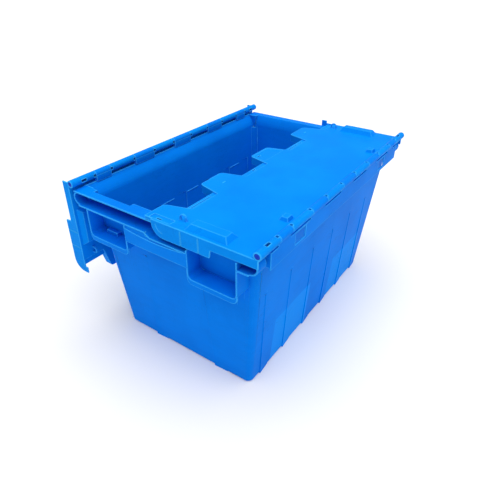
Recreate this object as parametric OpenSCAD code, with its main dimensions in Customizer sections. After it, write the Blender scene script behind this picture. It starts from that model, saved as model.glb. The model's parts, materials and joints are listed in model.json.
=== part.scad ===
// Attached-lid container: a tapered tub that nests, two half lids on piano hinges, steel hinge rods.
// Frame: origin at the middle of the tub's underside, +X along the length, +Z up.
// The right lid (hinged at -Y) is closed, the left lid (hinged at +Y) hangs open outside the tub.

/* [Overall] */
// Length over the lids' end skirts
crate_l = 597; // [480:1:720]
// Distance between the two hinge axes
hinge_span = 400.7; // [330:0.1:490]
// Height of the rim above the floor
rim_h = 322; // [265:1:390]

/* [Tub] */
// Wall thickness of the tub
wall = 2.8; // [2.2:0.1:4]
// Thickness of the tub's floor
floor_t = 3.2; // [2.4:0.1:5]
// Draft of the short walls, in degrees
end_draft = 4.5; // [3:0.1:5.5]
// Draft of the long walls, in degrees
side_draft = 5; // [3:0.1:5.5]
// Radius of the upright corners
corner_r = 14; // [8:1:22]
// Width of the flange on top of each short end
flange_w = 27; // [22:0.5:32]
// Thickness of flanges, lips and handle plates
lip_t = 2.6; // [2:0.1:3.4]
// Height of the open channel under the end flange
channel_h = 24.5; // [20:0.5:28]
// Spacing of the pleats along the long walls
pleat_pitch = 84; // [70:1:95]
// Step of each pleat at the bottom of the wall
pleat_step = 2.2; // [1.2:0.1:2.6]
// Height of the pleats
pleat_h = 215; // [150:1:230]

/* [Hand-holds] */
// Half-width of the grip between the two pockets
grip_half_w = 68; // [55:1:80]
// Height of a pocket's opening
pocket_h = 56; // [45:1:70]
// Depth of the front lip under a pocket
pocket_lip = 10; // [5:0.5:14]
// Corner radius of a pocket's mouth
pocket_r = 8; // [4:0.5:12]

/* [Hinges] */
// Radius of the hinge knuckles
knuckle_r = 7; // [6:0.1:9]
// Radius of the steel hinge rods
rod_r = 2.5; // [1.5:0.1:3]
// Radial clearance of the rods in the knuckles
rod_clearance = 0.05; // [0.02:0.01:0.1]
// Gap between neighbouring knuckles
knuckle_gap = 0.8; // [0.4:0.1:1.5]
// Length of the lid's end knuckle
end_knuckle_l = 54.5; // [40:0.5:65]
// Length of the tub's outer knuckle
outer_knuckle_l = 36.5; // [25:0.5:45]
// Length of the tub's inner knuckles
tub_knuckle_l = 54; // [40:1:60]
// Height of the hinge axis above the rim
axis_rise = 12.3; // [11:0.1:15]
// Radius of the plug that closes each hinge end
plug_r = 4.7; // [3.8:0.1:5.2]
// Depth of a hinge end plug
plug_t = 5; // [3:0.5:8]

/* [Lids] */
// Thickness of the lid plate
lid_t = 3; // [2.4:0.1:4]
// Angle through which each lid opens until it hangs, in degrees
open_angle = 269; // [180:1:269]
// Reach of the finger tips past the middle line
finger_reach = 17.5; // [10:0.5:20]
// Distance of the lid plate's edge from the middle line between the fingers
gap_root = 32; // [28:0.5:40]
// Depth of the fingers below the lid's top
finger_h = 16; // [10:0.5:18]
// Length of the lid's end half-finger at its tip
end_finger_l = 49; // [40:0.5:60]
// Gap along the lid between the tips of one lid's finger and the other's next to it
finger_tip_gap = 19.8; // [18:0.1:26]
// Clearance between one lid's fingers and the other lid's ledge
finger_clearance = 1.9; // [1.5:0.1:4]
// Depth of the end skirt near the hinge, from the lid's top
skirt_shallow = 16; // [12:0.5:18]
// Depth of the end skirt near the middle, from the lid's top
skirt_deep = 30; // [24:0.5:32]
// Distance from the hinge axis to the step in the end skirt
skirt_step_y = 84; // [60:1:110]
// Thickness of the skirts
skirt_t = 2.4; // [1.8:0.1:3]
// Height of the stacking pads
pad_h = 9; // [6:0.5:12]
// Length of the stacking pads
pad_l = 80; // [50:1:100]
// Width of the stacking pads
pad_w = 30; // [20:1:36]

/* [Hidden] */
$fn = 48;
eps = 0.01;
shell = "#0a7df0";
dark_plug = "#0638a8";
steel = "silver";

half_l = crate_l / 2;
hinge_y = hinge_span / 2;
axis_h = rim_h + axis_rise;
lid_top = rim_h + 7;
lid_low = lid_top - lid_t;
// overlap that joins neighbouring solids, and overshoot of cuts
lap = 1;
// clearance between a lid's end skirt and what it passes
skirt_gap = 0.8;

// Tub body
body_top_x = half_l - flange_w;
body_top_y = hinge_y - 15;
base_x = body_top_x - rim_h * tan(end_draft);
base_y = body_top_y - rim_h * tan(side_draft);
edge_r = 3;
tub_end = half_l - skirt_t - skirt_gap;
pleat_count = 6;
pleat_fade = 30;
pleat_root = 1.6;
pleat_tail = 0.15;
pleat_drop = 4;
pleat_shift = -4;
pleat_top_ratio = 0.4;
inner_pleat_step = 1.5;
inner_pleat_rise = 5;
end_pleat_ratio = 0.7;
// place at the bottom and lean of each pleat on a short wall
end_pleats = [[79, -4.5], [-75.5, 1.9]];
floor_recess = 1.2;
floor_rib_t = 2.4;
floor_rib_margin = [22, 20];

// Flared rims of the walls
flare_h = 30;
flare_low = rim_h - flare_h;
flare_low_y = base_y + flare_low * tan(side_draft);
flare_low_x = base_x + flare_low * tan(end_draft);
// how far the short walls flare out, and how far from each hinge the far one's flare stops
end_flare = 11;
end_flare_stop = 24;
mouth_y = hinge_y - 3.2;
skirt_y = hinge_y + 2.6;
skirt_low = rim_h - 30;
skirt_half_l = half_l - 34;
rim_rib_root = 8;
rim_rib_rise = 3;
rim_rib_places = [-3, -1, 0, 1, 3];

// Channel and flange of the short ends
lip_z = rim_h - channel_h;
low_lip_drop = 8;
ramp_start = 22;
ramp_end = 9;
channel_r = (channel_h + lip_t) / 2;
channel_end_l = flange_w - 4;
flange_inset = 2;
flange_root = 8;

// Hand-holds
pocket_out = body_top_y - 19;
pocket_floor = lip_z - pocket_h;
pocket_sink = 8;
plate_root = 4;
post_drop = 12;
grip_h = 28;
grip_sag = 6;
grip_top = lip_z - low_lip_drop;
grip_roll = 5;
band_setback = 1.6;
tab_y = [46, 18];
tab_h = 7;
tab_reach = 4;
tab_root = 14;

// Hinges
outer_end = half_l - end_knuckle_l;
outer_start = outer_end - outer_knuckle_l;
outer_mid = (outer_start + outer_end) / 2;
mid_centre = (tub_knuckle_l / 2 + outer_start) / 2;
bore_r = rod_r + rod_clearance;
plug_clearance = 0.05;
plug_inset = 0.8;
dimple_h = 2;
rod_l = crate_l - 2 * plug_t - lap;
tub_knuckles = [[0, tub_knuckle_l], [mid_centre, tub_knuckle_l], [-mid_centre, tub_knuckle_l],
    [outer_mid, outer_knuckle_l], [-outer_mid, outer_knuckle_l]];
lid_mid_l = mid_centre - tub_knuckle_l;
lid_far_l = outer_start - mid_centre - tub_knuckle_l / 2;
lug_x = outer_start - lid_far_l / 2;
end_knuckle_x = half_l - end_knuckle_l / 2;
lid_knuckles = [[mid_centre / 2, lid_mid_l], [-mid_centre / 2, lid_mid_l],
    [lug_x, lid_far_l], [-lug_x, lid_far_l],
    [end_knuckle_x, end_knuckle_l], [-end_knuckle_x, end_knuckle_l]];
notch_l = 9;
end_notch_l = 11;
notch_w = 5;

// Lids
end_zone = end_finger_l + 4.2;
finger_pitch = 2 * (half_l - end_zone) / 3;
finger_tip_w = finger_pitch / 2 - finger_tip_gap;
finger_spread = 14;
finger_r = 8;
finger_wall = 2;
root_overlap = 4;
ledge_y = finger_reach + finger_clearance;
ledge_drop = 2.6;
ledge_lap = 6;
plate_back = hinge_y - knuckle_r - 1;
skirt_end_r = 24;
skirt_back = 2;
skirt_step_run = 2;
skirt_near_y = 1.5;
skirt_far_y = -3;
lug_w = 20;
lug_near = 16;
lug_far = 33;
lug_h = 6.5;
lug_slope = 3;
window_w = 34;
window_drop = 3;
window_depth = 0.4;
pad_x = half_l - 21;
pad_mid_y = hinge_y - 95;
pad_slope = 7;
eye_x = half_l - 26;
eye_y = 46;
eye_r = 7.4;
eye_hole_r = 4.6;
eye_rise = 4;
eye_t = 3.2;
lid_rib_h = 8;
lid_rib_t = 2;
lid_rib_rows = [hinge_y - 42, hinge_y - 98, gap_root + 16];
lid_rib_half_l = body_top_x - 22;
lid_rib_columns = 4;
lid_rib_back = hinge_y - 32;
lid_rib_front = gap_root + 8;
recess = 1.3;
recess_rim = 5;
recess_edge = 12;
end_recess_x = [5, 17];
end_recess_y = 8;
end_slot_y = -14;
finger_slot = [23, 4];
slot_w = 3;
slot_l = 10;
ledge_groove = [54, 1.6];
ledge_groove_back = 5;
skirt_groove_w = 1;
skirt_groove_depth = 0.7;
skirt_strap_w = 10;
skirt_line_places = [60, 95];
ear_w = 13;
ear_h = 6;

module box(lo, hi) translate(lo) cube(hi - lo);

// Points along an arc, both ends included
function arc(centre, r, from, to, steps = 8) =
    [for (i = [0:steps]) let(a = from + (to - from) * i / steps) centre + r * [cos(a), sin(a)]];

module at_both_ends() for (turn = [0, 180]) rotate(turn) children();

module on_both_sides() for (m = [0, 1]) mirror([0, m, 0]) children();

module along_x(x_low, x_high)
    translate([x_low, 0, 0]) rotate([90, 0, 90]) linear_extrude(x_high - x_low) children();

// ---- tub ----

module corner_posts(z, half_x, half_y, r)
    for (sx = [-1, 1], sy = [-1, 1])
        translate([sx * (half_x - r), sy * (half_y - r), z]) cylinder(r = r, h = eps, $fn = 32);

// Tapered body, set in from the outside by inset, from z_low up to z_high
module tapered_body(inset, z_low, z_high, r_low, r_high)
    hull() {
        corner_posts(z_low, base_x + z_low * tan(end_draft) - inset - edge_r,
            base_y + z_low * tan(side_draft) - inset - edge_r, r_low);
        corner_posts(z_low + edge_r, base_x + (z_low + edge_r) * tan(end_draft) - inset,
            base_y + (z_low + edge_r) * tan(side_draft) - inset, r_low);
        corner_posts(z_high, base_x + z_high * tan(end_draft) - inset,
            base_y + z_high * tan(side_draft) - inset, r_high);
    }

// One saw-tooth pleat on a wall whose outside face stands at distance reach at floor level
module pleat(reach, draft, lean, at, step, shift, height, top_ratio)
    translate([at, -reach, 0]) rotate([draft, 0, 0]) rotate([0, -lean, 0])
        rotate([-atan(step * (1 - top_ratio) / height), 0, 0])
            translate([shift, shift, -pleat_drop]) linear_extrude(height + pleat_drop)
                polygon([[0, pleat_root], [0, -step], [pleat_fade, pleat_tail], [pleat_fade, pleat_root]]);

module pleats(step, shift, height, top_ratio)
    at_both_ends() {
        for (i = [0:pleat_count - 1])
            pleat(base_y, side_draft, end_draft, (i - (pleat_count - 1) / 2) * pleat_pitch + pleat_shift,
                step, shift, height, top_ratio);
        for (line = end_pleats)
            rotate(-90)
                pleat(base_x, end_draft, line[1], -line[0], step * end_pleat_ratio, shift, height, top_ratio);
    }

module body_outside()
    intersection() {
        union() {
            tapered_body(0, 0, rim_h, corner_r - 2, corner_r);
            pleats(pleat_step, 0, pleat_h, pleat_top_ratio);
        }
        box([-half_l, -hinge_y, 0], [half_l, hinge_y, rim_h - eps]);
    }

module body_inside() {
    tapered_body(wall, floor_t, rim_h + 4 * lap, corner_r - 4, corner_r - wall);
    intersection() {
        pleats(inner_pleat_step, wall, pleat_h + inner_pleat_rise, 1);
        box([-half_l, -hinge_y, floor_t + edge_r], [half_l, hinge_y, rim_h]);
    }
}

// Points of the flared face of a long wall, from the straight part up to the mouth, moved in by inset
function flare(inset, steps = 8) = [for (i = [0:steps]) let(t = i / steps)
    [flare_low_y - inset + (mouth_y - flare_low_y + wall) * t * t, flare_low + t * flare_h]];

// Flared top of a long wall, the skirt that hangs outside it and the ribs between the two
module long_rim() {
    along_x(-body_top_x, body_top_x)
        polygon(concat([[flare_low_y - wall, flare_low]], flare(0),
            [[mouth_y, rim_h], [base_y + rim_h * tan(side_draft) - wall, rim_h]]));
    box([-skirt_half_l, mouth_y, rim_h - lip_t], [skirt_half_l, skirt_y, rim_h]);
    box([-skirt_half_l, skirt_y - lip_t, skirt_low], [skirt_half_l, skirt_y, rim_h]);
    for (i = rim_rib_places) {
        x = i * skirt_half_l / 3 - sign(i) * lip_t / 2;
        box([x - lip_t / 2, body_top_y - rim_rib_root, skirt_low + rim_rib_rise],
            [x + lip_t / 2, skirt_y, rim_h - lap]);
    }
}

module mouth_cut() {
    inner = flare(wall);
    along_x(-flare_low_x + wall, flare_low_x - wall)
        polygon(concat(inner, [[mouth_y, rim_h + lap], [-mouth_y, rim_h + lap]],
            [for (i = [len(inner) - 1:-1:0]) [-inner[i][0], inner[i][1]]]));
}

module tub_knuckle_solids()
    for (k = tub_knuckles) {
        half = (k[1] - knuckle_gap) / 2;
        translate([k[0], hinge_y, axis_h]) rotate([0, 90, 0])
            cylinder(r = knuckle_r, h = 2 * half, center = true);
        box([k[0] - half, mouth_y, rim_h - lap], [k[0] + half, skirt_y, axis_h]);
    }

// Window in the hinge skirt that takes a lid's lug when the lid hangs open
module lug_windows()
    for (sx = [-1, 1])
        box([sx * lug_x - window_w / 2, hinge_y - window_depth, axis_h - lug_far - window_drop],
            [sx * lug_x + window_w / 2, skirt_y + lap, rim_h - lip_t]);

module hinge_bore() rotate([0, 90, 0]) cylinder(r = bore_r, h = crate_l + 2 * lap, center = true);

// Flange, lower lip and rounded ends of the open channel on top of the short end at -X
module end_channel() {
    box([-tub_end, -hinge_y + flange_inset, rim_h - lip_t],
        [-body_top_x + flange_root, hinge_y - flange_inset, rim_h]);
    // lower lip with its ramp, as far as the pocket on the far side of the grip
    along_x(-half_l, -body_top_x + flange_root)
        polygon([[hinge_y - channel_r, lip_z], [ramp_start, lip_z], [ramp_end, grip_top],
            [-grip_half_w, grip_top], [-grip_half_w, grip_top - lip_t], [ramp_end - lap, grip_top - lip_t],
            [ramp_start - lap, lip_z - lip_t], [hinge_y - channel_r, lip_z - lip_t]]);
    box([-half_l, -hinge_y + channel_r, lip_z - lip_t], [-body_top_x + flange_root, -pocket_out, lip_z]);
    on_both_sides()
        translate([-tub_end, hinge_y - channel_r, rim_h - channel_r]) rotate([0, 90, 0]) intersection() {
            difference() {
                cylinder(r = channel_r, h = channel_end_l);
                translate([0, 0, -lap]) cylinder(r = channel_r - lip_t, h = channel_end_l + 2 * lap);
            }
            translate([-channel_r, 0, 0]) cube([2 * channel_r, channel_r, channel_end_l]);
        }
}

// Outline of a pocket's front with round lower corners, grown by grow
module pocket_outline(y_low, y_high, z_low, z_high, grow) {
    r = pocket_r + grow;
    left = y_low - grow;
    right = y_high + grow;
    low = z_low - grow;
    translate([left, low + r]) square([right - left, z_high - low - r]);
    translate([left + r, low]) square([right - left - 2 * r, 2 * r]);
    for (y = [left + r, right - r]) translate([y, low + r]) circle(r);
}

module pocket_solids(y_low, y_high, z_high) {
    along_x(-half_l, -base_x - (pocket_floor - pocket_sink) * tan(end_draft) + wall)
        pocket_outline(y_low + lip_t, y_high - lip_t, pocket_floor, z_high, lip_t);
    along_x(-half_l, -half_l + lip_t)
        pocket_outline(y_low + lip_t, y_high - lip_t, pocket_floor - pocket_lip + lip_t, z_high, lip_t);
}

module pocket_hollow(y_low, y_high, z_high)
    along_x(-half_l - lap, -base_x - pocket_floor * tan(end_draft) + eps)
        pocket_outline(y_low + lip_t, y_high - lip_t, pocket_floor, z_high, 0);

// Grip between the two pockets: a sagging front plate with a rolled lower edge, and a band set back behind it
module grip() {
    half = grip_half_w + lip_t;
    sag_r = (half * half + grip_sag * grip_sag) / (2 * grip_sag);
    band_x = -half_l + band_setback;
    difference() {
        box([-half_l, -half, grip_top - grip_h], [-half_l + lip_t, half, grip_top]);
        along_x(-half_l - lap, -half_l + lip_t + lap)
            translate([0, grip_top - grip_sag + sag_r]) circle(sag_r, $fn = 180);
    }
    box([-half_l, -half, grip_top - grip_h], [-half_l + grip_roll, half, grip_top - grip_h + lip_t]);
    box([band_x, -half, grip_top - grip_sag - 2 * lap], [band_x + lip_t, half, grip_top]);
    box([band_x, ramp_start - 2 * lap, grip_top - lap], [band_x + lip_t, half, lip_z - lap]);
}

// Everything that stands out of one short wall
module end_hardware() {
    difference() {
        union() {
            end_channel();
            for (y = [grip_half_w, -pocket_out])
                pocket_solids(y, y + pocket_out - grip_half_w, lip_z - lip_t + eps);
        }
        pocket_hollow(grip_half_w, pocket_out, lip_z - lip_t);
        pocket_hollow(-pocket_out, -grip_half_w, rim_h - lip_t);
    }
    // side walls of the pocket that is open at the top, carried on up into the channel
    box([-half_l, -pocket_out, lip_z - pocket_h / 2],
        [-body_top_x + plate_root, -pocket_out + lip_t, rim_h - post_drop]);
    box([-tub_end, -grip_half_w - lip_t, grip_top - low_lip_drop],
        [-body_top_x + plate_root, -grip_half_w, rim_h - lap]);
    // tab on the back wall of the other pocket
    box([-body_top_x - tab_reach, pocket_out - tab_y[0], pocket_floor - 2 * lap],
        [-body_top_x + tab_root, pocket_out - tab_y[1], pocket_floor + tab_h]);
    grip();
}

// Points of the flared face of a short wall at -X, moved in by inset
function end_flare_points(inset, steps = 8) = [for (i = [0:steps]) let(t = i / steps)
    [inset - flare_low_x - end_flare * t * t, flare_low + t * flare_h]];

// Flare between two places along the short end at -X, as an outer wall or as the space inside it
module end_flare_wall(y_low, y_high)
    translate([0, y_high, 0]) rotate([90, 0, 0]) linear_extrude(y_high - y_low)
        polygon(concat(end_flare_points(0), [[wall - flare_low_x, rim_h], [wall - flare_low_x, flare_low]]));

module end_flare_space(y_low, y_high)
    translate([0, y_high - wall, 0]) rotate([90, 0, 0]) linear_extrude(y_high - y_low - 2 * wall)
        polygon(concat(end_flare_points(wall), [[wall - flare_low_x - end_flare, rim_h + lap],
            [wall + lap - flare_low_x, rim_h + lap], [wall + lap - flare_low_x, flare_low]]));

// Webs that close the rim's four corners, where the flares of the long and the short walls meet
module corner_webs()
    at_both_ends() on_both_sides()
        along_x(flare_low_x - wall, body_top_x - lap)
            polygon([[flare_low_y - corner_r, flare_low - lap], [flare_low_y, flare_low - lap],
                [mouth_y - wall, rim_h - lap], [flare_low_y - corner_r, rim_h - lap]]);

// Shallow recesses under the floor, with ribs left between them
module floor_recesses()
    difference() {
        box([-base_x + floor_rib_margin[0], -base_y + floor_rib_margin[1], -lap],
            [base_x - floor_rib_margin[0], base_y - floor_rib_margin[1], floor_recess]);
        for (i = [-3:3])
            translate([i * base_x / 4, 0, 0])
                cube([floor_rib_t, 2 * base_y, 4 * floor_recess], center = true);
        for (i = [-1:1])
            translate([0, i * base_y / 2, 0])
                cube([2 * base_x, floor_rib_t, 4 * floor_recess], center = true);
    }

module tub()
    color(shell)
    difference() {
        union() {
            body_outside();
            on_both_sides() {
                long_rim();
                tub_knuckle_solids();
            }
            at_both_ends() end_hardware();
            corner_webs();
            end_flare_wall(grip_half_w, pocket_out);
            rotate(180) end_flare_wall(end_flare_stop - hinge_y, pocket_out);
        }
        body_inside();
        mouth_cut();
        end_flare_space(grip_half_w, pocket_out);
        rotate(180) end_flare_space(end_flare_stop - hinge_y, pocket_out);
        on_both_sides() {
            translate([0, hinge_y, axis_h]) hinge_bore();
            lug_windows();
        }
        floor_recesses();
    }

// ---- half lid, drawn closed on the -Y side ----

// Middle of whole finger number i, counted from the half-finger's end
function finger_centre(i) = -half_l + end_zone + finger_pitch * (i + 0.75);

// Plan outline of one finger with rounded tip corners, from the plate's edge to the tip
module finger_outline(centre, inset = 0, tip_w = finger_tip_w) {
    tip = tip_w / 2 - inset;
    root = tip + finger_spread;
    reach = finger_reach - inset;
    r = finger_r - inset;
    slope = atan((root - tip) / (gap_root + reach));
    corner = [tip - r * tan((90 - slope) / 2), reach - r];
    translate([centre, 0])
        polygon(concat([[-root, -gap_root - root_overlap], [-root, -gap_root]],
            arc([-corner[0], corner[1]], r, 180 - slope, 90), arc(corner, r, 90, slope),
            [[root, -gap_root], [root, -gap_root - root_overlap]]));
}

// Half-finger at the end, set back beside its tip so that the other lid's skirt passes
module end_finger_outline(inset = 0)
    intersection() {
        finger_outline(-half_l, inset, 2 * end_finger_l);
        union() {
            translate([-half_l + inset, -gap_root - root_overlap])
                square([2 * end_finger_l, gap_root + root_overlap + skirt_near_y]);
            translate([-tub_end + inset, -gap_root - root_overlap])
                square([2 * end_finger_l, gap_root + root_overlap + finger_reach]);
        }
    }

module all_fingers(inset = 0) {
    end_finger_outline(inset);
    for (i = [0:2]) finger_outline(finger_centre(i), inset);
}

// Plate from the hinge to the fingers, with room for the tub's knuckles
module plate_outline()
    difference() {
        translate([-half_l, -hinge_y]) square([crate_l, hinge_y - gap_root]);
        for (k = tub_knuckles)
            translate([k[0] - k[1] / 2, -hinge_y - lap]) square([k[1], hinge_y - plate_back + lap]);
    }

module lid_knuckle_solids()
    for (k = lid_knuckles)
        translate([k[0], -hinge_y, axis_h]) rotate([0, 90, 0])
            cylinder(r = knuckle_r, h = k[1] - (abs(k[0]) > outer_end ? 0 : knuckle_gap), center = true);

// Notches at the ends of the lid's knuckles, and one in each end knuckle, that show the rod
module knuckle_notches() {
    for (k = lid_knuckles, end = [-1, 1])
        if (abs(k[0] + end * k[1] / 2) < half_l - eps)
            translate([k[0] + end * k[1] / 2, 0, knuckle_r])
                cube([notch_l, notch_w, 2 * knuckle_r], center = true);
    for (end = [-1, 1])
        translate([end * end_knuckle_x, 0, knuckle_r])
            cube([end_notch_l, notch_w, 2 * knuckle_r], center = true);
}

// Side walls of the fingers and the ledges between them, which carry the other lid's fingers
module finger_walls() {
    translate([0, 0, lid_top - finger_h]) linear_extrude(finger_h - lap) difference() {
        all_fingers();
        all_fingers(finger_wall);
        translate([-half_l, -gap_root - ledge_lap]) square([crate_l, ledge_lap]);
        translate([-half_l - lap, -gap_root])
            square([half_l - body_top_x + ledge_lap, gap_root + finger_reach + lap]);
    }
    // the end half-finger stands over the tub's flange, so its own walls are short
    translate([0, 0, rim_h + skirt_gap]) linear_extrude(lid_low - rim_h) difference() {
        end_finger_outline();
        end_finger_outline(finger_wall);
    }
    translate([0, 0, lid_low - ledge_drop]) linear_extrude(lid_t) difference() {
        translate([-half_l + lap, -gap_root - ledge_lap])
            square([crate_l - 2 * lap, gap_root + ledge_lap - ledge_y]);
        all_fingers(finger_wall);
    }
}

// End skirt: shallow near the hinge, deep near the middle and round at its free end
module skirt_outline(free_y)
    polygon(concat([[-hinge_y - skirt_back, lid_top - skirt_shallow], [-hinge_y - skirt_back, lid_top],
        [free_y, lid_top]],
        arc([free_y - skirt_end_r, lid_top - skirt_deep + skirt_end_r], skirt_end_r, 0, -90),
        [[-hinge_y + skirt_step_y, lid_top - skirt_deep],
        [-hinge_y + skirt_step_y - skirt_step_run, lid_top - skirt_shallow]]));

// Frustum with four sloping sides, from two crossed trapezoids
module frustum(l, w, h, slope) {
    module side(across) polygon([[-across / 2, -lap], [-across / 2, 0], [-across / 2 + slope, h],
        [across / 2 - slope, h], [across / 2, 0], [across / 2, -lap]]);
    intersection() {
        translate([0, l / 2, 0]) rotate([90, 0, 0]) linear_extrude(l) side(w);
        along_x(-w / 2, w / 2) side(l);
    }
}

// Upright eye for a security tie
module tie_eye()
    along_x(-eye_t / 2, eye_t / 2) difference() {
        union() {
            translate([0, eye_rise]) circle(eye_r);
            translate([-eye_r, -lap]) square([2 * eye_r, eye_rise + lap]);
        }
        translate([0, eye_rise]) circle(eye_hole_r);
        translate([-eye_hole_r, -2 * lap]) square([2 * eye_hole_r, eye_rise + 2 * lap]);
    }

module lid_ribs() {
    rib_low = lid_low - lid_rib_h;
    for (y = lid_rib_rows)
        box([-lid_rib_half_l, -y, rib_low], [lid_rib_half_l, -y + lid_rib_t, lid_low + lap]);
    for (i = [-lid_rib_columns:lid_rib_columns])
        translate([i * (lid_rib_half_l - lid_rib_t) / lid_rib_columns, 0, 0])
            box([-lid_rib_t / 2, -lid_rib_back, rib_low], [lid_rib_t / 2, -lid_rib_front, lid_low + lap]);
}

// Shallow recesses and tie slots in two fingers and in the ledge between them
module lid_features_cut() {
    finger_x = finger_centre(1);
    ledge_x = finger_x - finger_pitch / 2;
    box([-half_l + end_recess_x[0], -gap_root - root_overlap, lid_top - recess],
        [-half_l + end_recess_x[1], end_recess_y, lid_top + lap]);
    box([-half_l + end_recess_x[0] + slot_w, end_slot_y, rim_h],
        [-half_l + end_recess_x[0] + 2 * slot_w, end_slot_y + slot_l, lid_top + lap]);
    translate([0, 0, lid_top - recess]) linear_extrude(recess + lap) difference() {
        finger_outline(finger_x, recess_rim);
        translate([finger_x - finger_pitch / 2, -gap_root - ledge_lap])
            square([finger_pitch, ledge_lap + recess_edge]);
    }
    box([finger_x - finger_slot[0], finger_slot[1], rim_h],
        [finger_x - finger_slot[0] + slot_l, finger_slot[1] + slot_w, lid_top + lap]);
    box([ledge_x - slot_l / 2, -ledge_y - 2 * slot_w, rim_h],
        [ledge_x + slot_l / 2, -ledge_y - slot_w, lid_top]);
    for (side = [-1, 1])
        translate([ledge_x + side * finger_pitch, -ledge_y - ledge_groove_back - ledge_groove[1], rim_h])
            box([-ledge_groove[0] / 2, 0, 0], [ledge_groove[0] / 2, ledge_groove[1], lid_top - rim_h]);
}

// Shallow lines on the outside of the end skirts: a strap along the round free end, and cross lines
module skirt_grooves() {
    strap_r = skirt_end_r - skirt_strap_w;
    along_x(-half_l - lap, -half_l + skirt_groove_depth)
        translate([skirt_near_y - skirt_end_r, lid_top - skirt_deep + skirt_end_r]) intersection() {
            difference() {
                circle(strap_r);
                circle(strap_r - skirt_groove_w);
            }
            translate([0, -skirt_end_r]) square(skirt_end_r);
        }
    for (end = [-1, 1], y = skirt_line_places)
        translate([end * half_l, -y, 0])
            box([-skirt_groove_depth, -skirt_groove_w / 2, lid_top - skirt_deep - lap],
                [skirt_groove_depth, skirt_groove_w / 2, lid_low]);
}

module half_lid()
    difference() {
        union() {
            translate([0, 0, lid_low]) linear_extrude(lid_t) {
                plate_outline();
                all_fingers();
            }
            finger_walls();
            lid_knuckle_solids();
            along_x(-half_l, -half_l + skirt_t) skirt_outline(skirt_near_y);
            along_x(half_l - skirt_t, half_l) {
                skirt_outline(skirt_far_y);
                translate([skirt_far_y - ear_w, lid_top - lap]) square([ear_w, ear_h + lap]);
            }
            for (sx = [-1, 1]) {
                translate([sx * pad_x, -pad_mid_y, lid_top]) frustum(pad_l, pad_w, pad_h, pad_slope);
                translate([sx * lug_x, -hinge_y + (lug_near + lug_far) / 2, lid_top])
                    frustum(lug_far - lug_near, lug_w, lug_h, lug_slope);
                translate([sx * eye_x, -eye_y, lid_top]) tie_eye();
            }
            lid_ribs();
        }
        translate([0, -hinge_y, axis_h]) {
            hinge_bore();
            knuckle_notches();
            for (end = [-1, 1])
                translate([end * half_l, 0, 0]) rotate([0, 90, 0])
                    cylinder(r = plug_r + plug_clearance, h = 2 * plug_t, center = true);
        }
        lid_features_cut();
        skirt_grooves();
    }

module lid_right() color(shell) half_lid();

// Turns a closed right-hand piece into its left-hand place, hanging open
module hung_open()
    translate([0, hinge_y, axis_h]) rotate([-open_angle, 0, 0]) translate([0, -hinge_y, -axis_h])
        rotate([0, 0, 180]) children();

module lid_left() color(shell) hung_open() half_lid();

// ---- hinge rods and plugs ----

module hinge_rod(side)
    color(steel) translate([0, side * hinge_y, axis_h]) rotate([0, 90, 0])
        cylinder(r = rod_r, h = rod_l, center = true);

module hinge_rod_right() hinge_rod(-1);
module hinge_rod_left() hinge_rod(1);

// Plug with a dimple in its outer face, at one end of a closed lid's hinge
module hinge_plug(end)
    color(dark_plug)
    translate([end * (half_l - (plug_t + plug_inset) / 2), -hinge_y, axis_h]) rotate([0, 90, 0])
        difference() {
            cylinder(r = plug_r, h = plug_t - plug_inset, center = true);
            translate([0, 0, end * plug_t / 2]) cylinder(r = plug_r / 3, h = dimple_h, center = true);
        }

module hinge_plug_right_near() hinge_plug(-1);
module hinge_plug_right_far() hinge_plug(1);
module hinge_plug_left_near() hung_open() hinge_plug(1);
module hinge_plug_left_far() hung_open() hinge_plug(-1);

tub();
lid_right();
lid_left();
hinge_rod_right();
hinge_rod_left();
hinge_plug_right_near();
hinge_plug_right_far();
hinge_plug_left_near();
hinge_plug_left_far();
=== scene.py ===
import json
import math
import bmesh
import bpy
from mathutils import Matrix, Vector


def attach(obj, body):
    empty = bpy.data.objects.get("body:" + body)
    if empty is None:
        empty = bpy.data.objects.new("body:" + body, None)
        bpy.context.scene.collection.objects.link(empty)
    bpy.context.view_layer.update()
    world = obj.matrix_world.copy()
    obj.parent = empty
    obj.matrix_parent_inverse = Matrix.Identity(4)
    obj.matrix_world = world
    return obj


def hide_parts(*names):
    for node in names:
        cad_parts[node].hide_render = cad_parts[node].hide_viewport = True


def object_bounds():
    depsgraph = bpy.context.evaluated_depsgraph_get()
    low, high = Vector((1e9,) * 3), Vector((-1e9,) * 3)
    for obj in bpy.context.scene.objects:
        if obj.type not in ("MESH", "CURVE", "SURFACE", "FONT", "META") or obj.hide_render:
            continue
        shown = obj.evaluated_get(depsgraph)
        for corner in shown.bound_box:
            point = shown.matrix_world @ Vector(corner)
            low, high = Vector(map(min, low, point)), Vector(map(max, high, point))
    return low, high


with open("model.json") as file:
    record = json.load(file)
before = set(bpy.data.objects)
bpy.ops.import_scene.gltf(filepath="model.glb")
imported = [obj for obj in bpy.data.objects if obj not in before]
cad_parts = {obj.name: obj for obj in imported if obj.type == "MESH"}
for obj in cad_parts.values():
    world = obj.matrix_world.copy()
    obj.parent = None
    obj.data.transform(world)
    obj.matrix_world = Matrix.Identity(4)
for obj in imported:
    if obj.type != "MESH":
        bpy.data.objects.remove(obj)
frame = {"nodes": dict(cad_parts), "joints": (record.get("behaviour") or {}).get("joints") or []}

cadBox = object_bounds()
nodes = frame["nodes"]
scene = bpy.context.scene
mm = 0.001
print("frame loaded:", len(nodes), "nodes")


plasticIor = 1.49
opennessSamples = 6


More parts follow.
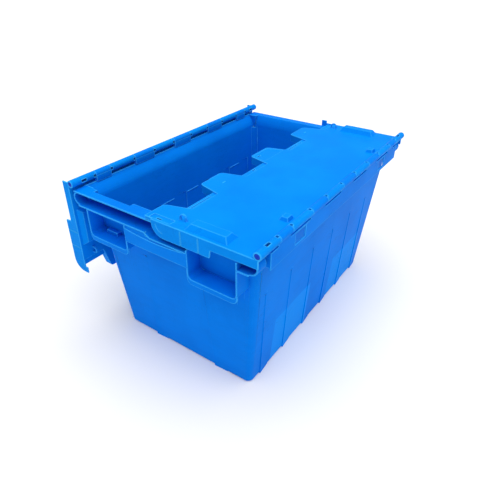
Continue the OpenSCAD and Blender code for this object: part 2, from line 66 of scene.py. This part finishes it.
class Wire:
    # one socket of a material's tree, which adds Math nodes as it is used in sums
    def __init__(self, tree, socket=None):
        self.tree, self.socket = tree, socket

    def node(self, kind, settings=None, sockets=None, out=0):
        made = self.tree.nodes.new(kind)
        for name, value in (settings or {}).items():
            setattr(made, name, value)
        for name, value in (sockets or {}).items():
            if isinstance(value, Wire):
                self.tree.links.new(value.socket, made.inputs[name])
            else:
                made.inputs[name].default_value = value
        return Wire(self.tree, made.outputs[out])

    def sum(self, operation, first, second=0.0):
        return self.node("ShaderNodeMath", {"operation": operation}, {0: first, 1: second})

    def __add__(self, other):
        return self.sum("ADD", self, other)

    def __radd__(self, other):
        return self.sum("ADD", other, self)

    def __sub__(self, other):
        return self.sum("SUBTRACT", self, other)

    def __rsub__(self, other):
        return self.sum("SUBTRACT", other, self)

    def __mul__(self, other):
        return self.sum("MULTIPLY", self, other)

    def __rmul__(self, other):
        return self.sum("MULTIPLY", other, self)

    def __abs__(self):
        return self.sum("ABSOLUTE", self)

    def above(self, low, high):
        # 0 below low, 1 above high, a smooth step between
        return self.node("ShaderNodeMapRange", {"interpolation_type": "SMOOTHSTEP"},
                         {"Value": self, "From Min": low, "From Max": high})

    def between(self, low, high, softness):
        # 1 from low to high, with a short smooth step at either end
        return self.above(low, low + softness) * (1.0 - self.above(high, high + softness))

    def axes(self):
        return [self.node("ShaderNodeSeparateXYZ", None, {"Vector": self}, out=axis) for axis in range(3)]

    def mapped(self, scale=(1.0, 1.0, 1.0), turn=0.0):
        return self.node("ShaderNodeMapping", None,
                         {"Vector": self, "Rotation": (0.0, 0.0, turn), "Scale": scale})

    def noise(self, scale, detail=2.0, roughness=0.5):
        return self.node("ShaderNodeTexNoise", None,
                         {"Vector": self, "Scale": scale, "Detail": detail, "Roughness": roughness})

    def mix(self, first, second):
        # colours first and second, mixed by this factor
        return self.node("ShaderNodeMix", {"data_type": "RGBA"}, {0: self, 6: first, 7: second}, out=2)

    def openness(self, reach, inside=False):
        # share of open space around the surface, or of solid behind it
        return self.node("ShaderNodeAmbientOcclusion",
                         {"samples": opennessSamples, "inside": inside, "only_local": True},
                         {"Distance": reach}, out=1)


def newMaterial(name, metallic=0.0, gloss=0.5):
    # a material, its shader and the place on the piece
    made = bpy.data.materials.new(name)
    made.use_nodes = True
    shader = made.node_tree.nodes["Principled BSDF"]
    shader.inputs["Metallic"].default_value = metallic
    shader.inputs["IOR"].default_value = plasticIor
    shader.inputs["Specular IOR Level"].default_value = gloss
    place = Wire(made.node_tree).node("ShaderNodeTexCoord", out=3)
    return made, shader, place


def finishMaterial(shader, colour, roughness, height, distance):
    bump = height.node("ShaderNodeBump", None, {"Distance": distance, "Height": height})
    for wire, name in ((colour, "Base Color"), (roughness, "Roughness"), (bump, "Normal")):
        wire.tree.links.new(wire.socket, shader.inputs[name])


# a noise is its scale, detail and roughness
shellPaint = {
    "tub": ((0.0003, 0.185, 0.78, 1), (0.0006, 0.225, 0.88, 1)),
    "lid": ((0.0003, 0.225, 0.80, 1), (0.0010, 0.270, 0.90, 1)),
    "waves": (9.0, 3.0),
    "streaks": (22.0, 4.0, 0.6),
    "streakSquash": (1.0, 1.0, 6.0),
    "waveShare": 0.7,
    "fade": (0.3, 0.7),
    "grain": (1400.0, 2.0, 0.6),
    "grainShare": 0.4,
    "grainDepth": 0.05 * mm,
    "roughness": 0.42,
    "streakSheen": 0.12,
    "grainSheen": 0.06,
    "gloss": 0.014,
}
# painted highlight: a paler blue along convex edges, where rounded edges catch the light
edgeGlintPaint = {
    "tone": (0.050, 0.50, 1.0, 1),
    "reach": 1.5 * mm,
    "fade": (0.03, 0.22),
    "least": 0.65,
    "drift": 0.6,
    "share": 0.9,
}
# painted shade, in wide recesses first, then in narrow gaps
paintedShades = (
    {"reach": 30 * mm, "fade": (0.36, 0.98), "share": 0.72},
    {"reach": 5 * mm, "fade": (0.15, 0.70), "share": 0.55},
)
paintedShadeTone = (0.0001, 0.040, 0.42, 1)
scuff = {
    "tone": (0.0002, 0.13, 0.62, 1),
    "stretch": (14.0, 90.0, 30.0),
    "turn": 0.7,
    "noise": (1.0, 3.0, 0.7),
    "width": (0.004, 0.016),
    "patches": 7.0,
    "patchFade": (0.50, 0.66),
    "share": 0.35,
}
# painted highlight: a paler blue on two panels low on each long wall, which catch more light than the wall
# around them
litPanelPaint = {
    "spans": ((-178 * mm, -40 * mm), (64 * mm, 205 * mm)),
    "top": 113 * mm,
    "wall": 150 * mm,
    "softness": 1.2 * mm,
    "tone": (0.0015, 0.275, 0.93, 1),
}
wallFace = {
    "foot": (246.16 * mm, 157.18 * mm),
    "draft": (math.tan(math.radians(4.5)), math.tan(math.radians(5))),
    "half": 1.4 * mm,
    "rim": 214 * mm,
    "fade": 6 * mm,
}


def outsideMask(place):
    # 1 on the outer faces of the tub's walls below the hand-holds
    w = wallFace
    x, y, z = place.axes()
    ends, sides = ((abs(reach) - z * draft - foot).above(-2 * w["half"], -w["half"])
                   for reach, foot, draft in zip((x, y), w["foot"], w["draft"]))
    return place.sum("MINIMUM", ends + sides, 1.0) * (1.0 - z.above(w["rim"], w["rim"] + w["fade"]))


def litPanelMask(place):
    # 1 on the two panels low on each long wall that get a painted highlight, where their facets catch more
    # light
    p = litPanelPaint
    x, y, z = place.axes()
    across = x * (0.0 - y.sum("SIGN", y))
    first, second = (across.between(low, high, p["softness"]) for low, high in p["spans"])
    low = 1.0 - z.above(p["top"], p["top"] + p["softness"])
    return (first + second) * low * abs(y).above(p["wall"], p["wall"] + p["softness"])


def scuffMask(place):
    # thin scratches, in patches
    scratch = place.mapped(scuff["stretch"], scuff["turn"]).noise(*scuff["noise"])
    patch = place.noise(scuff["patches"]).above(*scuff["patchFade"])
    return (1.0 - abs(scratch - 0.5).above(*scuff["width"])) * patch * scuff["share"]


def mouldedPlastic(name, tones, turn=0.0, panels=False):
    # satin plastic: slow colour drift and fine grain, with a painted highlight on convex edges and painted
    # shade in hollows
    s, w = shellPaint, edgeGlintPaint
    made, shader, place = newMaterial(name, gloss=s["gloss"])
    turned = place.mapped(turn=turn)
    drift = turned.noise(*s["waves"])
    streaks = turned.mapped(s["streakSquash"]).noise(*s["streaks"])
    grain = turned.noise(*s["grain"])
    # painted edge highlight, strongest where solid lies close behind the surface
    edgeGlint = (1.0 - place.openness(w["reach"], True)).above(*w["fade"])
    edgeGlint = edgeGlint * (w["least"] + drift * w["drift"]) * w["share"]
    shade = (drift * s["waveShare"] + streaks * (1 - s["waveShare"])).above(*s["fade"]).mix(*tones)
    if panels:
        # no painted edge highlight on the pleated outer walls below the hand-holds
        edgeGlint = edgeGlint * (1.0 - outsideMask(place))
        # painted highlight on the lit panels
        shade = litPanelMask(place).mix(shade, litPanelPaint["tone"])
    # painted shade: a deeper blue where little open space surrounds the surface
    for shadeStep in paintedShades:
        depth = (1.0 - place.openness(shadeStep["reach"])).above(*shadeStep["fade"])
        shade = (shadeStep["share"] * depth).mix(shade, paintedShadeTone)
    shade = scuffMask(turned).mix(shade, scuff["tone"])
    shade = edgeGlint.mix(shade, w["tone"])
    roughness = s["roughness"] + (streaks - 0.5) * s["streakSheen"] + (grain - 0.5) * s["grainSheen"]
    height = grain * s["grainShare"] + streaks * (1 - s["grainShare"])
    finishMaterial(shader, shade, roughness, height, s["grainDepth"])
    return made


steel = {
    "tones": ((0.56, 0.57, 0.58, 1), (0.38, 0.37, 0.35, 1)),
    "squash": (4.0, 900.0, 900.0),
    "lines": (1.0, 3.0, 0.6),
    "stains": (60.0, 3.0),
    "fade": (0.35, 0.75),
    "roughness": 0.26,
    "lineSheen": 0.22,
    "lineDepth": 0.02 * mm,
}


def drawnSteel(name):
    # bright rod, drawn lengthwise, with dull stains
    made, shader, place = newMaterial(name, metallic=1.0)
    lines = place.mapped(steel["squash"]).noise(*steel["lines"])
    shade = place.noise(*steel["stains"]).above(*steel["fade"]).mix(*steel["tones"])
    finishMaterial(shader, shade, steel["roughness"] + lines * steel["lineSheen"], lines, steel["lineDepth"])
    return made


plug = {
    "tones": ((0.001, 0.030, 0.42, 1), (0.002, 0.050, 0.56, 1)),
    "speckle": 1800.0,
    "cloud": (130.0, 3.0),
    "fade": (0.35, 0.65),
    "gloss": 0.12,
    "roughness": 0.34,
    "cloudSheen": 0.14,
    "speckleDepth": 0.04 * mm,
}


def plugPlastic(name):
    # dark, slightly cloudy plastic with a fine speckle
    made, shader, place = newMaterial(name, gloss=plug["gloss"])
    cloud = place.noise(*plug["cloud"])
    shade = cloud.above(*plug["fade"]).mix(*plug["tones"])
    roughness = plug["roughness"] + cloud * plug["cloudSheen"]
    finishMaterial(shader, shade, roughness, place.noise(plug["speckle"]), plug["speckleDepth"])
    return made


tubPaint = mouldedPlastic("tub plastic", shellPaint["tub"], panels=True)
lidPaint = mouldedPlastic("lid plastic", shellPaint["lid"], turn=math.radians(40))
hardwarePaint = {
    "hinge_rod": drawnSteel("drawn steel"),
    "hinge_plug": plugPlastic("plug plastic"),
}
print("materials made")


moulding = {
    "join": 0.002 * mm,
    "round": 0.7 * mm,
    "crease": math.radians(24),
    "steps": 2,
}


def mouldedCopy(name, node, body, paint):
    # the frame's shell with its edges rounded
    made = bpy.data.objects.new(name, nodes[node].data.copy())
    scene.collection.objects.link(made)
    work = bmesh.new()
    work.from_mesh(made.data)
    bmesh.ops.remove_doubles(work, verts=work.verts, dist=moulding["join"])
    work.to_mesh(made.data)
    work.free()
    made.data.materials.clear()
    made.data.materials.append(paint)
    made.data.shade_smooth()
    bevel = made.modifiers.new("rounded edges", "BEVEL")
    bevel.width = moulding["round"]
    bevel.segments = moulding["steps"]
    bevel.limit_method = "ANGLE"
    bevel.angle_limit = moulding["crease"]
    bevel.use_clamp_overlap = False
    made.data.set_sharp_from_angle(angle=moulding["crease"])
    made.modifiers.new("even shading", "WEIGHTED_NORMAL").keep_sharp = True
    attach(made, body)
    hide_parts(node)


mouldedCopy("tubShell", "tub", "tub_body", tubPaint)
mouldedCopy("rightLidShell", "lid_right", "right_lid", lidPaint)
mouldedCopy("leftLidShell", "lid_left", "left_lid", lidPaint)
for name, node in nodes.items():
    for kind, paint in hardwarePaint.items():
        if name.startswith(kind):
            node.data.materials.clear()
            node.data.materials.append(paint)
print("shells moulded")


# the sizes of the small mouldings are in millimetres
trim = {
    "soft": 0.25,
    "crease": math.radians(30),
    "root": 1,
}


def bar(work, low, high):
    # block between two corners, with its edges rounded
    low, high = Vector(low) * mm, Vector(high) * mm
    verts = bmesh.ops.create_cube(work, size=1)["verts"]
    bmesh.ops.scale(work, verts=verts, vec=high - low)
    bmesh.ops.translate(work, verts=verts, vec=(low + high) / 2)
    edges = list({edge for vert in verts for edge in vert.link_edges})
    bmesh.ops.bevel(work, geom=edges, offset=trim["soft"] * mm, segments=2, profile=0.5, affect="EDGES",
                    material=-1)


def addPiece(name, work, body, paint, turns):
    # one object from what is in work, copied once for each of turns
    whole = bmesh.new()
    for turn in turns:
        part = bpy.data.meshes.new("part")
        work.to_mesh(part)
        part.transform(turn)
        whole.from_mesh(part)
        bpy.data.meshes.remove(part)
    work.free()
    mesh = bpy.data.meshes.new(name)
    whole.to_mesh(mesh)
    whole.free()
    mesh.materials.append(paint)
    mesh.shade_smooth()
    mesh.set_sharp_from_angle(angle=trim["crease"])
    made = bpy.data.objects.new(name, mesh)
    scene.collection.objects.link(made)
    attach(made, body)


halfTurn = Matrix.Rotation(math.pi, 4, "Z")
bothSides = (Matrix(), halfTurn)

rimBead = {"y": 197.0, "z": 321.5, "radius": 1.1, "half": 269.0, "steps": 16}


def makeRimBeads():
    # rounded bead along the inner edge of each long rim
    radius = rimBead["radius"] * mm
    work = bmesh.new()
    bmesh.ops.create_cone(work, cap_ends=True, segments=rimBead["steps"], radius1=radius, radius2=radius,
                          depth=2 * rimBead["half"] * mm)
    place = Matrix.Translation((0, rimBead["y"] * mm, rimBead["z"] * mm))
    bmesh.ops.transform(work, verts=work.verts, matrix=place @ Matrix.Rotation(math.pi / 2, 4, "Y"))
    addPiece("rimBeads", work, "tub_body", tubPaint, bothSides)


wallLedge = {
    "first": -189,
    "pitch": 84,
    "count": 5,
    "length": 40.0,
    "z": 216.2,
    "height": 1.3,
    "proud": 1.0,
    "wallFoot": 154.38,
    "wallDraft": math.tan(math.radians(5)),
    "rib": ((261.9, 164.4, 247.0), (265.4, 165.8, 265.0)),
}


def makeWallLedges():
    # short ledges on top of the pleats inside the long walls, and one upright rib inside each short wall
    w = wallLedge
    face = w["wallFoot"] + w["z"] * w["wallDraft"]
    work = bmesh.new()
    for number in range(w["count"]):
        x = w["first"] + number * w["pitch"]
        bar(work, (x, face - w["proud"], w["z"]), (x + w["length"], face + trim["root"], w["z"] + w["height"]))
    bar(work, *w["rib"])
    addPiece("wallLedges", work, "tub_body", tubPaint, bothSides)


fascia = {
    "low": (193.4, 321.0),
    "high": (197.4, 333.6),
    "middle": 26.6,
    "outer": ((117.25, 26.6), (225.75, 17.85)),
}


def makeFascias():
    # flat face from each of the tub's hinge knuckles down to the rim
    knuckles = [(0, fascia["middle"])] + [(side * x, half) for x, half in fascia["outer"] for side in (-1, 1)]
    work = bmesh.new()
    for x, half in knuckles:
        bar(work, (x - half, *fascia["low"]), (x + half, *fascia["high"]))
    addPiece("knuckleFascias", work, "tub_body", tubPaint, bothSides)


pip = {
    "places": ((-123, -13.5), (204, -5)),
    "lidTop": 329.0,
    "length": 9.0,
    "width": 1.8,
    "height": 0.7,
}


def makePips(name, body, turn):
    # small sink marks beside the fingers' tips
    halfL, halfW = pip["length"] / 2, pip["width"] / 2
    low, high = pip["lidTop"] - trim["root"], pip["lidTop"] + pip["height"]
    work = bmesh.new()
    for x, y in pip["places"]:
        bar(work, (x - halfL, y - halfW, low), (x + halfL, y + halfW, high))
    addPiece(name, work, body, lidPaint, (turn,))


# the left lid is the right lid's copy, half a turn round and hung open about its own rod
hung = next(joint for joint in frame["joints"] if joint["name"] == "left_lid_hinge")
rodPlace = Matrix.Translation(hung["pos_m"])
swing = Matrix.Rotation(math.radians(-hung["range_deg"][0]), 4, Vector(hung["axis"]))
hungOpen = rodPlace @ swing @ rodPlace.inverted() @ halfTurn

makeRimBeads()
makeWallLedges()
makeFascias()
makePips("rightLidPips", "right_lid", Matrix())
makePips("leftLidPips", "left_lid", hungOpen)
print("mouldings added")


studio = {
    "floorSize": 60.0,
    "floorDrop": 0.2 * mm,
    "floorTones": ((0.90, 0.90, 0.90, 1), (0.891, 0.891, 0.891, 1)),
    "floorCloud": 3.0,
    "floorRoughness": 0.8,
    "floorSheen": 0.05,
    "floorDepth": 0.05 * mm,
    "skyStrength": 0.47,
    "sunStrength": 2.6,
    "sunSpread": math.radians(75),
    "sunFrom": (-0.08, -0.14, 1.0),
    "lens": 33.77,
    "sensor": 36.0,
    "eye": (-0.7230, -0.4720, 0.6800),
    "azimuth": math.radians(-54.8),
    "elevation": math.radians(32.27),
    "roll": math.radians(-0.17),
}


def makeFloor():
    made = bpy.data.meshes.new("floor")
    work = bmesh.new()
    bmesh.ops.create_grid(work, x_segments=1, y_segments=1, size=studio["floorSize"] / 2)
    bmesh.ops.translate(work, verts=work.verts, vec=(0, 0, cadBox[0][2] - studio["floorDrop"]))
    work.to_mesh(made)
    work.free()
    paint, shader, place = newMaterial("studio floor")
    cloud = place.noise(studio["floorCloud"])
    roughness = studio["floorRoughness"] + cloud * studio["floorSheen"]
    finishMaterial(shader, cloud.mix(*studio["floorTones"]), roughness, cloud, studio["floorDepth"])
    made.materials.append(paint)
    floor = bpy.data.objects.new("floor", made)
    scene.collection.objects.link(floor)


def makeLights():
    # pale sky and one very soft sun
    world = bpy.data.worlds.new("studio")
    world.use_nodes = True
    sky = world.node_tree.nodes["Background"].inputs
    sky["Color"].default_value = (1, 1, 1, 1)
    sky["Strength"].default_value = studio["skyStrength"]
    scene.world = world
    lamp = bpy.data.lights.new("key", "SUN")
    lamp.angle = studio["sunSpread"]
    lamp.energy = studio["sunStrength"]
    key = bpy.data.objects.new("key", lamp)
    key.rotation_euler = Vector(studio["sunFrom"]).to_track_quat("Z", "Y").to_euler()
    scene.collection.objects.link(key)


def makeCamera():
    # looks along the azimuth and elevation, then rolled about that line
    az, el, roll = studio["azimuth"], studio["elevation"], studio["roll"]
    back = Vector((math.sin(az) * math.cos(el), -math.cos(az) * math.cos(el), math.sin(el)))
    right = Vector((0, 0, 1)).cross(back).normalized()
    up = back.cross(right)
    right, up = math.cos(roll) * right + math.sin(roll) * up, math.cos(roll) * up - math.sin(roll) * right
    lens = bpy.data.cameras.new("camera")
    lens.lens = studio["lens"]
    lens.sensor_width = studio["sensor"]
    camera = bpy.data.objects.new("camera", lens)
    turn = Matrix((right, up, back)).transposed().to_4x4()
    camera.matrix_world = Matrix.Translation(studio["eye"]) @ turn
    scene.collection.objects.link(camera)
    scene.camera = camera


makeFloor()
makeLights()
makeCamera()
scene.view_settings.view_transform = "Standard"
print("studio ready")
